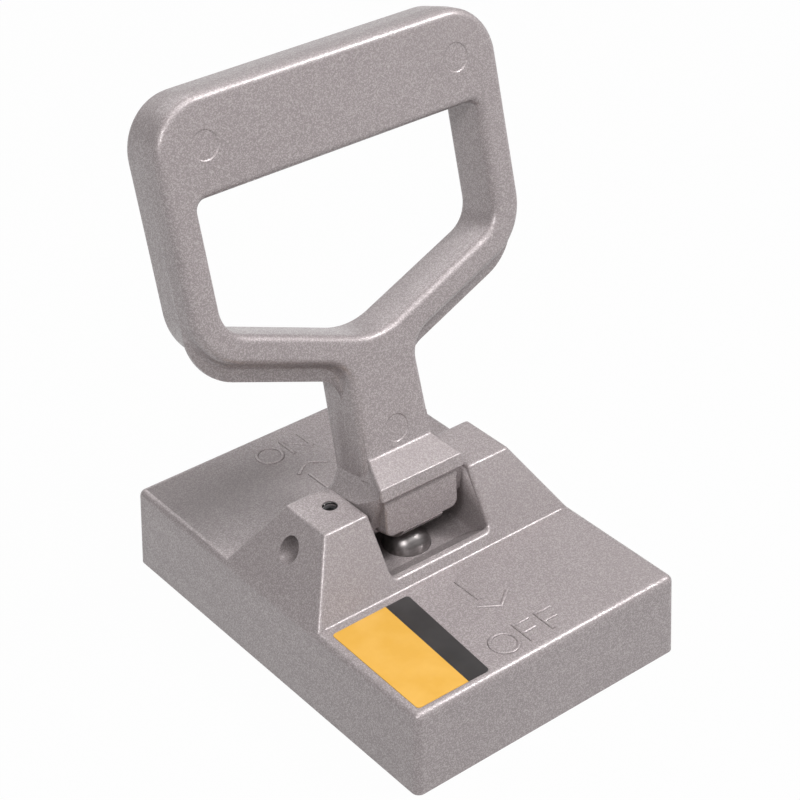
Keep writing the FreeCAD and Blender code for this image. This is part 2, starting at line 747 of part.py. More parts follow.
def lift_handle():
    """Handle casting: grip, stem, nose, toe, cam and hub in one piece, leaning at its ON stop."""
    body = grip_and_stem().fuse([flare(), hub(), toe_block(), cam_pad(), nose()])
    bore = Part.makeCylinder(
        PIN_RADIUS + PIN_RUNNING_CLEARANCE, 2 * FAR, Vector(-FAR, 0, 0), Vector(1, 0, 0)
    )
    body = body.cut([bore] + mould_marks()).removeSplitter()
    body.rotate(Vector(0, 0, 0), Vector(1, 0, 0), -HANDLE_LEAN)
    body.translate(Vector(0, 0, PIVOT_HEIGHT))
    return body


def release_plunger():
    """Plunger with a round head, a guide and a thinner shank."""
    tip = PLUNGER_TIP_RECESS
    shank = PLUNGER_SHANK_DIAMETER / 2
    head = DOME_RADIUS
    stem = turned(
        [
            (0, tip),
            (shank - PLUNGER_TIP_CHAMFER, tip),
            (shank, tip + PLUNGER_TIP_CHAMFER),
            (shank, HEAD_UNDERSIDE),
            (head, HEAD_UNDERSIDE),
            (head, DOME_CENTRE),
            (0, DOME_CENTRE),
        ],
        0,
        PLUNGER_PLACE,
    )
    centre = Vector(0, PLUNGER_PLACE, DOME_CENTRE)
    dome = Part.makeSphere(head, centre, Vector(0, 0, 1), 0, 90, 360)
    return stem.fuse(dome).removeSplitter()


def plunger_spring():
    """Compression spring between the base's seat and the plunger's head, with ground ends."""
    wire_radius = SPRING_WIRE / 2
    low = SPRING_SEAT_HEIGHT + wire_radius * SPRING_GRIND
    high = HEAD_UNDERSIDE - wire_radius * SPRING_GRIND
    coil_radius = SPRING_DIAMETER / 2
    rise = high - low
    path = Part.makeHelix(rise / SPRING_TURNS, rise, coil_radius)
    path.translate(Vector(0, PLUNGER_PLACE, low))
    start = Vector(coil_radius, PLUNGER_PLACE, low)
    section = Part.Wire(Part.makeCircle(wire_radius, start, Vector(0, 1, 0)))
    coil = Part.Wire(path.Edges).makePipeShell([section], True, True)
    space = Part.makeCylinder(
        SPRING_DIAMETER,
        HEAD_UNDERSIDE - SPRING_SEAT_HEIGHT,
        Vector(0, PLUNGER_PLACE, SPRING_SEAT_HEIGHT),
    )
    return coil.common(space)


def pack_bar(side, near, thickness, low, high):
    """Bar across a magnet pack, at a distance from the middle of the base."""
    half_width = pack_half_width() - PACK_CLEARANCE
    low_y, high_y = sorted((side * near, side * (near + thickness)))
    return prism(rectangle(half_width, low_y, high_y, 0, low), Vector(0, 0, high - low))


def pole_screw_profile():
    """Countersunk screw, head down at the working face, as (radius, height) corners."""
    low = POLE_SCREW_RECESS
    shank = POLE_SCREW_DIAMETER / 2
    head = POLE_SCREW_HEAD_DIAMETER / 2
    high = low + POLE_SCREW_LENGTH
    return [(0, low), (head, low), (shank, low + head - shank), (shank, high), (0, high)]


def pole_screws():
    """All the pole screws, as separate solids."""
    screws = []
    for place_x, place_y in pole_screw_places():
        low = POLE_SCREW_RECESS
        socket = hexagon_socket(
            POLE_SCREW_SOCKET, place_x, place_y, low, low + POLE_SCREW_SOCKET_DEPTH
        )
        screws.append(turned(pole_screw_profile(), place_x, place_y).cut(socket))
    return Part.makeCompound(screws)


def countersinks():
    """Space of the pole screws in the pole bars, a clearance larger than the screws."""
    shank = POLE_SCREW_DIAMETER / 2 + SCREW_CLEARANCE
    head = POLE_SCREW_HEAD_DIAMETER / 2 + SCREW_CLEARANCE
    step = POLE_SCREW_RECESS + head - shank
    corners = [(0, 0), (head, 0), (head, POLE_SCREW_RECESS), (shank, step)]
    corners += [(shank, PACK_DEPTH), (0, PACK_DEPTH)]
    return [turned(corners, place_x, place_y) for place_x, place_y in pole_screw_places()]


def magnet_packs():
    """Pole bars, magnets and cover strips of both packs, by name."""
    pieces = {}
    holes = countersinks()
    poles = pole_places()
    for end, side in pack_ends():
        for name, near in poles:
            bar = pack_bar(side, near, POLE_THICKNESS, 0, PACK_DEPTH)
            pieces[f"{end}_{name}_pole"] = bar.cut(holes)
        for (name, near), (_, following) in zip(poles, poles[1:]):
            row = "inner" if name == "inner" else "outer"
            start = near + POLE_THICKNESS
            thickness = following - start
            magnet = pack_bar(side, start, thickness, COVER_THICKNESS, PACK_DEPTH)
            pieces[f"{end}_{row}_magnet"] = magnet
            pieces[f"{end}_{row}_cover"] = pack_bar(side, start, thickness, 0, COVER_THICKNESS)
    return pieces


def main():
    """Build every piece and write each one to its own file."""
    pieces = {
        "base_housing": base_housing(),
        "lift_handle": lift_handle(),
        "pivot_pin": pivot_pin(),
        "pin_set_screw": pin_set_screw(),
        "release_plunger": release_plunger(),
        "plunger_spring": plunger_spring(),
        "pole_screws": pole_screws(),
    }
    pieces.update(magnet_packs())
    os.makedirs("parts", exist_ok=True)
    for name, shape in pieces.items():
        shape.exportStep(f"parts/{name}.step")
        print(f"{name:20s} {len(shape.Solids):3d} solids  {shape.Volume / 1000:8.2f} cm3")


if __name__ == "__main__":
    main()
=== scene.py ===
"""Looks of a hand-held permanent magnetic lifter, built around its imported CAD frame."""

import json
import logging
import math
from abc import ABC, abstractmethod
from collections.abc import Sequence
from dataclasses import dataclass, field
from enum import Enum

import bmesh
import bpy
from mathutils import Matrix, Vector


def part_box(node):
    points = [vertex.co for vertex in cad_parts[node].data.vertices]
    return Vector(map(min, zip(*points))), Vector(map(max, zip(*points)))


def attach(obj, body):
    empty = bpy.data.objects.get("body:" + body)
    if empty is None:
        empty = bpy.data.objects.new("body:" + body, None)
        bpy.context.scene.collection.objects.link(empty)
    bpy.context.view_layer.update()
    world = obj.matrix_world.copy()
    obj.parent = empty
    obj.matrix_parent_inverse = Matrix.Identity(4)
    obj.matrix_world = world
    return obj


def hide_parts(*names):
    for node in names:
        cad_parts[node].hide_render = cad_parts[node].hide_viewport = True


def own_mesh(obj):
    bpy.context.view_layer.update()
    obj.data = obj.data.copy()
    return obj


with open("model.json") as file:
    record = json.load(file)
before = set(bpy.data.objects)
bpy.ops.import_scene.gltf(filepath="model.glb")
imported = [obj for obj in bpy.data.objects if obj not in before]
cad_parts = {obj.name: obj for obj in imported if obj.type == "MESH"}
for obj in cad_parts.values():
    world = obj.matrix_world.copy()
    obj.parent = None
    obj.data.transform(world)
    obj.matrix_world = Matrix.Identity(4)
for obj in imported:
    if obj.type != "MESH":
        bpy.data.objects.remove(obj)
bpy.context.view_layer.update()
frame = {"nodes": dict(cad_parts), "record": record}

logging.basicConfig(level=logging.INFO, format="%(message)s")
LOG = logging.getLogger("lifter")

MM = 0.001
# corners this close are one, edges this short are dropped, and a cut takes a corner this near
WELD = 0.002 * MM
SLIVER = 0.0005 * MM
CUT_SNAP = 0.0001 * MM
CAST_SHARP_DEG = 24.0

Colour = tuple[float, float, float, float]
Point = tuple[float, float]
Place = tuple[float, float, float]
Size = float | Place


class Body(Enum):
    """CAD bodies that a piece can ride on."""

    BASE = "base"
    HANDLE = "handle"
    PLUNGER = "plunger"


class Slot(Enum):
    """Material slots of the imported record."""

    CASTING = "casting"
    STEEL = "steel"
    BLACK_STEEL = "black_steel"
    SPRING_STEEL = "spring_steel"
    POLE_STEEL = "pole_steel"
    MAGNET = "magnet"
    BRASS = "brass"


# Shared shader effects


class Effects:
    """Shader node groups that more than one finish uses, built once."""

    fine_detail: float = 2.0
    fine_roughness: float = 0.6
    soft_detail: float = 3.0

    def __init__(self) -> None:
        """Build the groups."""
        self.grain = self._grain()
        self.brushing = self._brushing()

    @staticmethod
    def _group(
        name: str, inputs: dict[str, float], outputs: Sequence[str]
    ) -> tuple[bpy.types.NodeTree, bpy.types.Node, bpy.types.Node]:
        """Start a group with float inputs and outputs.

        Args:
            name: the group's name.
            inputs: each input's usual value, by its name.
            outputs: the outputs' names.

        Returns:
            The node tree, its input node and its output node.
        """
        tree = bpy.data.node_groups.new(name, "ShaderNodeTree")
        for label, value in inputs.items():
            socket = tree.interface.new_socket(label, in_out="INPUT", socket_type="NodeSocketFloat")
            socket.default_value = value
        for label in outputs:
            tree.interface.new_socket(label, in_out="OUTPUT", socket_type="NodeSocketFloat")
        return tree, tree.nodes.new("NodeGroupInput"), tree.nodes.new("NodeGroupOutput")

    @staticmethod
    def _noise(
        tree: bpy.types.NodeTree,
        place: bpy.types.NodeSocket,
        scale: bpy.types.NodeSocket,
        detail: float,
    ) -> bpy.types.Node:
        """Add a noise texture.

        Args:
            tree: the group.
            place: the coordinates that it reads.
            scale: its scale.
            detail: its octaves.

        Returns:
            The texture's node.
        """
        noise = tree.nodes.new("ShaderNodeTexNoise")
        noise.inputs["Detail"].default_value = detail
        tree.links.new(place, noise.inputs["Vector"])
        tree.links.new(scale, noise.inputs["Scale"])
        return noise

    @classmethod
    def _grain(cls) -> bpy.types.NodeTree:
        """Shot-blasted grain: bright flecks, soft mottling and a fine height.

        Returns:
            The node tree.
        """
        tree, start, end = cls._group(
            "shot_blast_grain",
            {"Grain Scale": 1400.0, "Mottle Scale": 60.0, "Fleck Share": 0.5},
            ("Fleck", "Mottle", "Height"),
        )
        nodes, links = tree.nodes, tree.links
        place = nodes.new("ShaderNodeTexCoord").outputs["Object"]
        fine = cls._noise(tree, place, start.outputs["Grain Scale"], cls.fine_detail)
        fine.inputs["Roughness"].default_value = cls.fine_roughness
        mottle = cls._noise(tree, place, start.outputs["Mottle Scale"], cls.soft_detail)
        cells = nodes.new("ShaderNodeTexVoronoi")
        links.new(place, cells.inputs["Vector"])
        links.new(start.outputs["Grain Scale"], cells.inputs["Scale"])
        lone = nodes.new("ShaderNodeSeparateColor")
        links.new(cells.outputs["Color"], lone.inputs["Color"])
        fleck = nodes.new("ShaderNodeMapRange")
        fleck.inputs["From Max"].default_value = 1.0
        links.new(start.outputs["Fleck Share"], fleck.inputs["From Min"])
        links.new(lone.outputs["Red"], fleck.inputs["Value"])
        height = nodes.new("ShaderNodeMath")
        height.operation = "ADD"
        links.new(fine.outputs["Fac"], height.inputs[0])
        links.new(lone.outputs["Green"], height.inputs[1])
        links.new(fleck.outputs["Result"], end.inputs["Fleck"])
        links.new(mottle.outputs["Fac"], end.inputs["Mottle"])
        links.new(height.outputs["Value"], end.inputs["Height"])
        return tree

    @classmethod
    def _brushing(cls) -> bpy.types.NodeTree:
        """Fine lines along X, as grinding leaves them.

        Returns:
            The node tree.
        """
        tree, start, end = cls._group(
            "ground_lines", {"Line Scale": 900.0, "Stretch": 0.03}, ("Line",)
        )
        nodes, links = tree.nodes, tree.links
        place = nodes.new("ShaderNodeTexCoord")
        squeeze = nodes.new("ShaderNodeCombineXYZ")
        squeeze.inputs["Y"].default_value = 1.0
        squeeze.inputs["Z"].default_value = 1.0
        links.new(start.outputs["Stretch"], squeeze.inputs["X"])
        scaled = nodes.new("ShaderNodeVectorMath")
        scaled.operation = "MULTIPLY"
        links.new(place.outputs["Object"], scaled.inputs[0])
        links.new(squeeze.outputs["Vector"], scaled.inputs[1])
        scale = start.outputs["Line Scale"]
        lines = cls._noise(tree, scaled.outputs["Vector"], scale, cls.soft_detail)
        links.new(lines.outputs["Fac"], end.inputs["Line"])
        return tree


# Finishes


class MaterialNodes:
    """A new material and its Principled shader, with the links that finishes share."""

    def __init__(self, name: str) -> None:
        """Start the material.

        Args:
            name: the material's name.
        """
        self.material = bpy.data.materials.new(name)
        self.material.use_nodes = True
        self.nodes = self.material.node_tree.nodes
        self.links = self.material.node_tree.links
        self.shader = self.nodes["Principled BSDF"]

    def effect(self, tree: bpy.types.NodeTree, values: dict[str, float]) -> bpy.types.Node:
        """Place a shared effect.

        Args:
            tree: the effect's node group.
            values: this finish's own values, by input.

        Returns:
            The group's node.
        """
        group = self.nodes.new("ShaderNodeGroup")
        group.node_tree = tree
        self.set_inputs(group, values)
        return group

    @staticmethod
    def set_inputs(node: bpy.types.Node, values: dict[str, float | Colour]) -> None:
        """Set a node's inputs by their names."""
        for label, value in values.items():
            node.inputs[label].default_value = value

    def combine(
        self, operation: str, *terms: bpy.types.NodeSocket | float
    ) -> bpy.types.NodeSocket:
        """Work one value out of others.

        Args:
            operation: the math node's operation.
            terms: its terms, each a socket or a number.

        Returns:
            The value's socket.
        """
        node = self.nodes.new("ShaderNodeMath")
        node.operation = operation
        for index, term in enumerate(terms):
            if isinstance(term, float):
                node.inputs[index].default_value = term
            else:
                self.links.new(term, node.inputs[index])
        return node.outputs["Value"]

    def colour(
        self,
        mask: bpy.types.NodeSocket,
        first: tuple[float, Colour],
        last: tuple[float, Colour],
    ) -> None:
        """Colour the surface by a mask.

        Args:
            mask: the mask.
            first: the mask's value where the ramp starts, and the colour there.
            last: its value where the ramp ends, and the colour there.
        """
        ramp = self.nodes.new("ShaderNodeValToRGB")
        for element, (position, tint) in zip(ramp.color_ramp.elements, (first, last)):
            element.position = position
            element.color = tint
        self.links.new(mask, ramp.inputs["Fac"])
        self.links.new(ramp.outputs["Color"], self.shader.inputs["Base Color"])

    def roughen(self, mask: bpy.types.NodeSocket, low: float, high: float) -> None:
        """Set the roughness by a mask.

        Args:
            mask: the mask.
            low: roughness where the mask is 0.
            high: roughness where it is 1.
        """
        rough = self.nodes.new("ShaderNodeMapRange")
        self.set_inputs(rough, {"To Min": low, "To Max": high})
        self.links.new(mask, rough.inputs["Value"])
        self.links.new(rough.outputs["Result"], self.shader.inputs["Roughness"])

    def emboss(self, height: bpy.types.NodeSocket, strength: float, depth: float) -> None:
        """Bump the surface.

        Args:
            height: the heights.
            strength: share of the bump that shows.
            depth: its depth in metres.
        """
        bump = self.nodes.new("ShaderNodeBump")
        self.set_inputs(bump, {"Strength": strength, "Distance": depth})
        self.links.new(height, bump.inputs["Height"])
        self.links.new(bump.outputs["Normal"], self.shader.inputs["Normal"])


@dataclass(frozen=True)
class CastFinish:
    """Silvery shot-blasted die casting."""

    name: str
    dark: Colour
    light: Colour
    metallic: float
    roughness: float
    grain_scale: float = 3300.0
    mottle_scale: float = 45.0
    fleck_share: float = 0.4
    fleck_weight: float = 0.85
    mottle_weight: float = 0.2
    rougher: float = 0.1
    smoother: float = 0.12
    bump: float = 0.3
    bump_depth: float = 0.06 * MM
    sheen: float = 0.4
    sheen_roughness: float = 0.24

    def make(self, effects: Effects) -> bpy.types.Material:
        """Build the material.

        Args:
            effects: the shared node groups.

        Returns:
            The material.
        """
        new = MaterialNodes(self.name)
        grain = new.effect(
            effects.grain,
            {
                "Grain Scale": self.grain_scale,
                "Mottle Scale": self.mottle_scale,
                "Fleck Share": self.fleck_share,
            },
        )
        fleck = grain.outputs["Fleck"]
        mottle = new.combine("MULTIPLY", grain.outputs["Mottle"], self.mottle_weight)
        mask = new.combine("MULTIPLY_ADD", fleck, self.fleck_weight, mottle)
        new.colour(mask, (0.0, self.dark), (1.0, self.light))
        new.roughen(fleck, self.roughness + self.rougher, self.roughness - self.smoother)
        new.set_inputs(
            new.shader,
            {
                "Metallic": self.metallic,
                "Coat Weight": self.sheen,
                "Coat Roughness": self.sheen_roughness,
            },
        )
        new.emboss(grain.outputs["Height"], self.bump, self.bump_depth)
        return new.material


@dataclass(frozen=True)
class GroundFinish:
    """Ground or drawn metal with fine lines."""

    name: str
    dark: Colour
    light: Colour
    metallic: float
    roughness: float
    line_scale: float = 900.0
    stretch: float = 0.03
    dark_until: float = 0.3
    light_from: float = 0.7
    smoother: float = 0.05
    rougher: float = 0.08

    def make(self, effects: Effects) -> bpy.types.Material:
        """Build the material.

        Args:
            effects: the shared node groups.

        Returns:
            The material.
        """
        new = MaterialNodes(self.name)
        values = {"Line Scale": self.line_scale, "Stretch": self.stretch}
        line = new.effect(effects.brushing, values).outputs["Line"]
        new.colour(line, (self.dark_until, self.dark), (self.light_from, self.light))
        new.roughen(line, self.roughness - self.smoother, self.roughness + self.rougher)
        new.set_inputs(new.shader, {"Metallic": self.metallic})
        return new.material


@dataclass(frozen=True)
class PrintFinish:
    """Ink of one colour on the film of a label."""

    name: str
    ink: Colour
    faded: Colour
    roughness: float = 0.38
    mottle_scale: float = 110.0
    ink_until: float = 0.35
    faded_from: float = 0.75

    def make(self, effects: Effects) -> bpy.types.Material:
        """Build the material.

        Args:
            effects: the shared node groups.

        Returns:
            The material.
        """
        new = MaterialNodes(self.name)
        grain = new.effect(effects.grain, {"Mottle Scale": self.mottle_scale})
        mask = grain.outputs["Mottle"]
        new.colour(mask, (self.ink_until, self.ink), (self.faded_from, self.faded))
        new.set_inputs(new.shader, {"Roughness": self.roughness})
        return new.material


SHOT_BLASTED = CastFinish(
    "shot_blasted_casting",
    dark=(0.262, 0.228, 0.23, 1.0),
    light=(0.45, 0.403, 0.406, 1.0),
    metallic=0.33,
    roughness=0.42,
)
MAGNET_BLOCKS = CastFinish(
    "magnet_blocks",
    dark=(0.05, 0.05, 0.052, 1.0),
    light=(0.12, 0.12, 0.122, 1.0),
    metallic=0.3,
    roughness=0.6,
)
# Near-black colours: painted shade inside the set screw's hole, on a thread that is cut in the
# bright casting.
SHADE_DARKENED_THREAD_METAL = GroundFinish(
    "thread_painted_shade",
    dark=(0.04, 0.038, 0.038, 1.0),
    light=(0.14, 0.135, 0.135, 1.0),
    metallic=1.0,
    roughness=0.2,
)
# Colours darker than bare polished steel: the steel's own tone plus painted shade of the slot that
# the plunger sits in, shared by the pin and the other steel parts.
SHADE_DARKENED_STEEL = GroundFinish(
    "steel_painted_shade",
    dark=(0.18, 0.166, 0.164, 1.0),
    light=(0.27, 0.252, 0.25, 1.0),
    metallic=0.9,
    roughness=0.32,
)
DRAWN_WIRE = GroundFinish(
    "drawn_wire",
    dark=(0.25, 0.25, 0.26, 1.0),
    light=(0.40, 0.40, 0.41, 1.0),
    metallic=1.0,
    roughness=0.35,
)
BLACKENED_STEEL = GroundFinish(
    "blackened_steel",
    dark=(0.08, 0.08, 0.083, 1.0),
    light=(0.17, 0.17, 0.174, 1.0),
    metallic=0.8,
    roughness=0.38,
)
GROUND_POLES = GroundFinish(
    "ground_poles",
    dark=(0.34, 0.34, 0.35, 1.0),
    light=(0.52, 0.52, 0.53, 1.0),
    metallic=1.0,
    roughness=0.32,
)
GROUND_BRASS = GroundFinish(
    "ground_brass",
    dark=(0.50, 0.36, 0.15, 1.0),
    light=(0.68, 0.51, 0.25, 1.0),
    metallic=1.0,
    roughness=0.34,
)
LABEL_YELLOW = PrintFinish(
    "label_yellow", ink=(0.6, 0.325, 0.045, 1.0), faded=(0.65, 0.37, 0.075, 1.0)
)
LABEL_BLACK = PrintFinish(
    "label_black", ink=(0.02, 0.018, 0.018, 1.0), faded=(0.035, 0.032, 0.032, 1.0)
)


# Mesh helpers


def new_piece(name: str, mesh: bpy.types.Mesh) -> bpy.types.Object:
    """Put a mesh into the scene as an object at the origin.

    Args:
        name: the piece's name.
        mesh: its mesh, in the frame's own place.

    Returns:
        The object.
    """
    piece = bpy.data.objects.new(name, mesh)
    bpy.context.scene.collection.objects.link(piece)
    return piece


def shaped_piece(name: str, shape: bmesh.types.BMesh) -> bpy.types.Object:
    """Put a shape into the scene and let go of it.

    Args:
        name: the piece's name.
        shape: its shape, in the frame's own place.

    Returns:
        The object.
    """
    mesh = bpy.data.meshes.new(name)
    shape.to_mesh(mesh)
    shape.free()
    return new_piece(name, mesh)


def paint(piece: bpy.types.Object, *materials: bpy.types.Material) -> None:
    """Give a piece these materials in place of its own.

    Args:
        piece: the object.
        materials: its materials, in slot order.
    """
    if piece.data.materials:
        piece.data.materials.clear()
    for material in materials:
        piece.data.materials.append(material)


def smooth_copy(node: str, name: str, angle_deg: float) -> bpy.types.Object:
    """Copy a CAD node's mesh, join its loose triangles and shade its rounds smooth.

    Args:
        node: the CAD node.
        name: the copy's name.
        angle_deg: edges sharper than this stay sharp.

    Returns:
        The copy, at the node's place.
    """
    mesh = frame["nodes"][node].data.copy()
    mesh.name = name
    shape = bmesh.new()
    shape.from_mesh(mesh)
    bmesh.ops.remove_doubles(shape, verts=shape.verts, dist=WELD)
    bmesh.ops.dissolve_degenerate(shape, edges=shape.edges, dist=SLIVER)
    shade(shape, angle_deg)
    shape.to_mesh(mesh)
    shape.free()
    mesh.update()
    return new_piece(name, mesh)


def shade(shape: bmesh.types.BMesh, angle_deg: float) -> None:
    """Shade a shape smooth but for its sharper edges.

    Args:
        shape: the shape.
        angle_deg: edges sharper than this stay sharp.
    """
    limit = math.radians(angle_deg)
    for face in shape.faces:
        face.smooth = True
    for edge in shape.edges:
        edge.smooth = len(edge.link_faces) == 2 and edge.calc_face_angle(0.0) < limit


def outward(mesh: bpy.types.Mesh, angle_deg: float | None) -> None:
    """Turn a mesh's faces outward.

    Args:
        mesh: the mesh.
        angle_deg: edges sharper than this stay sharp, or none to leave the shading as it is.
    """
    shape = bmesh.new()
    shape.from_mesh(mesh)
    bmesh.ops.recalc_face_normals(shape, faces=shape.faces)
    if angle_deg is not None:
        shade(shape, angle_deg)
    shape.to_mesh(mesh)
    shape.free()


def prism(ring: Sequence[Vector], along: Vector) -> bmesh.types.BMesh:
    """Solid swept from a flat ring of corners along a vector.

    Args:
        ring: the corners in millimetres.
        along: the sweep in millimetres.

    Returns:
        The solid, its faces outward.
    """
    shape = bmesh.new()
    near = [shape.verts.new(corner * MM) for corner in ring]
    far = [shape.verts.new((corner + along) * MM) for corner in ring]
    shape.faces.new(near)
    shape.faces.new(list(reversed(far)))
    for index in range(len(ring)):
        after = (index + 1) % len(ring)
        shape.faces.new((near[index], far[index], far[after], near[after]))
    bmesh.ops.recalc_face_normals(shape, faces=shape.faces)
    return shape


def base_top(end_share: float = 0.85) -> float:
    """Height of the base's flat top, read from the CAD mesh near its OFF end.

    Args:
        end_share: share of the base's half length that the ridge does not reach.

    Returns:
        The height in millimetres.
    """
    corners = [corner.co for corner in frame["nodes"]["base_housing"].data.vertices]
    limit = end_share * min(corner.y for corner in corners)
    return max(corner.z for corner in corners if corner.y < limit) / MM


def rounded(points: Sequence[Point], radius: float, steps: int) -> list[Point]:
    """Round every corner of an outline.

    Args:
        points: the corners.
        radius: radius of each corner.
        steps: chords in each round.

    Returns:
        The rounded outline.
    """
    result: list[Point] = []
    for index, point in enumerate(points):
        corner = Vector(point)
        back = (Vector(points[index - 1]) - corner).normalized()
        ahead = (Vector(points[(index + 1) % len(points)]) - corner).normalized()
        half = back.angle(ahead) / 2
        start = corner + back * radius / math.tan(half)
        end = corner + ahead * radius / math.tan(half)
        centre = corner + (back + ahead).normalized() * radius / math.sin(half)
        first, last = start - centre, end - centre
        for step in range(steps + 1):
            swept = first.lerp(last, step / steps).normalized() * radius
            result.append(tuple(centre + swept))
    return result


class SweepNodes:
    """Geometry nodes that sweep a section along a path, their sizes as named inputs."""

    def __init__(self, name: str, drawn: str) -> None:
        """Start the tree.

        Args:
            name: the tree's name.
            drawn: name of its input for the points or lines that it works on.
        """
        self.tree = bpy.data.node_groups.new(name, "GeometryNodeTree")
        self.tree.interface.new_socket(drawn, in_out="INPUT", socket_type="NodeSocketGeometry")
        self.start = self.node("NodeGroupInput")
        self.drawn = drawn
        self.sizes: dict[str, Size] = {}

    def node(self, kind: str) -> bpy.types.Node:
        """Add a node of one kind."""
        return self.tree.nodes.new(kind)

    def size(self, label: str, value: Size, node: bpy.types.Node, *inputs: str) -> None:
        """Add a named size.

        Args:
            label: the size's name.
            value: a number or a vector, in metres where it is a length.
            node: the node that takes it.
            inputs: that node's inputs for it.
        """
        kind = "NodeSocketFloat" if isinstance(value, float) else "NodeSocketVector"
        socket = self.tree.interface.new_socket(label, in_out="INPUT", socket_type=kind)
        self.sizes[socket.identifier] = value
        for name in inputs:
            self.tree.links.new(self.start.outputs[label], node.inputs[name])

    def corners(self, section: Sequence[Point]) -> bpy.types.Node:
        """Add a section of four corners.

        Args:
            section: the corners in millimetres, each outward and then downward.

        Returns:
            The section's node.
        """
        profile = self.node("GeometryNodeCurvePrimitiveQuadrilateral")
        profile.mode = "POINTS"
        for index, (out, down) in enumerate(section, 1):
            place = (out * MM, down * MM, 0.0)
            self.size(f"Corner {index}", place, profile, f"Point {index}")
        return profile

    def sweep(self, path: bpy.types.Node, profile: bpy.types.Node, caps: bool) -> bpy.types.Node:
        """Sweep a section along a path, without a twist.

        Args:
            path: the path's node.
            profile: the section's node.
            caps: whether the ends are closed.

        Returns:
            The sweep's node.
        """
        level = self.node("GeometryNodeSetCurveNormal")
        level.mode = "Z_UP"
        swept = self.node("GeometryNodeCurveToMesh")
        swept.inputs["Fill Caps"].default_value = caps
        self.tree.links.new(path.outputs["Curve"], level.inputs["Curve"])
        self.tree.links.new(level.outputs["Curve"], swept.inputs["Curve"])
        self.tree.links.new(profile.outputs["Curve"], swept.inputs["Profile Curve"])
        return swept

    def spread(self, swept: bpy.types.Node, turn: Place = (0.0, 0.0, 0.0)) -> bpy.types.Node:
        """Set the sweep on every drawn point.

        Args:
            swept: the sweep's node.
            turn: the angles that it is turned by.

        Returns:
            The node of the instances.
        """
        spread = self.node("GeometryNodeInstanceOnPoints")
        spread.inputs["Rotation"].default_value = turn
        self.tree.links.new(self.start.outputs[self.drawn], spread.inputs["Points"])
        self.tree.links.new(swept.outputs["Mesh"], spread.inputs["Instance"])
        return spread

    def close(self, last: bpy.types.Node, result: str, material: bpy.types.Material) -> None:
        """End the tree.

        Args:
            last: the node whose first output is the whole shape.
            result: name of the tree's output.
            material: the shape's material.
        """
        self.tree.interface.new_socket(result, in_out="OUTPUT", socket_type="NodeSocketGeometry")
        real = self.node("GeometryNodeRealizeInstances")
        coat = self.node("GeometryNodeSetMaterial")
        coat.inputs["Material"].default_value = material
        end = self.node("NodeGroupOutput")
        self.tree.links.new(last.outputs[0], real.inputs["Geometry"])
        self.tree.links.new(real.outputs["Geometry"], coat.inputs["Geometry"])
        self.tree.links.new(coat.outputs["Geometry"], end.inputs[result])

    def piece(
        self,
        name: str,
        points: Sequence[Vector],
        edges: Sequence[tuple[int, int]] = (),
        angle_deg: float | None = None,
    ) -> bpy.types.Object:
        """Run the tree on drawn points and lines.

        Args:
            name: the piece's name.
            points: the points in metres.
            edges: the pairs of points that lines join.
            angle_deg: edges sharper than this stay sharp, or none to leave the shading as it is.

        Returns:
            The piece, as a plain mesh.
        """
        lines = bpy.data.meshes.new(f"{name}_lines")
        lines.from_pydata(points, list(edges), [])
        drawn = new_piece(f"{name}_lines", lines)
        modifier = drawn.modifiers.new(self.tree.name, "NODES")
        modifier.node_group = self.tree
        for identifier, value in self.sizes.items():
            modifier[identifier] = value
        bpy.context.view_layer.update()
        seen = drawn.evaluated_get(bpy.context.evaluated_depsgraph_get())
        mesh = bpy.data.meshes.new_from_object(seen)
        bpy.data.objects.remove(drawn)
        bpy.data.meshes.remove(lines)
        mesh.name = name
        outward(mesh, angle_deg)
        return new_piece(name, mesh)


# Sub-assemblies


class SubAssembly(ABC):
    """Pieces that are built and then dressed together."""

    @abstractmethod
    def build(self) -> list[bpy.types.Object]:
        """Make the pieces and let them ride on their bodies."""

    @abstractmethod
    def dress(self, made: Sequence[bpy.types.Object]) -> None:
        """Give the pieces their finish."""


@dataclass
class PlainAssembly(SubAssembly):
    """Sub-assembly with one finish all over."""

    material: bpy.types.Material

    def dress(self, made: Sequence[bpy.types.Object]) -> None:
        """Give every piece the one finish."""
        for piece in made:
            paint(piece, self.material)


@dataclass
class Castings(PlainAssembly):
    """Base and handle castings, with smooth rounds."""

    sharp_deg: float = CAST_SHARP_DEG
    parts: dict[str, Body] = field(
        default_factory=lambda: {"base_housing": Body.BASE, "lift_handle": Body.HANDLE}
    )

    def build(self) -> list[bpy.types.Object]:
        """Copy the castings and let the copies stand for them.

        Returns:
            The copies.
        """
        made = []
        for node, body in self.parts.items():
            copy = smooth_copy(node, f"{node}_casting", self.sharp_deg)
            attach(copy, body.value)
            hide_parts(node)
            made.append(copy)
        return made


@dataclass
class Stroke:
    """One line of a sign, seen from above, in millimetres."""

    points: list[Point]
    closed: bool = False
    lower: float = 0.0


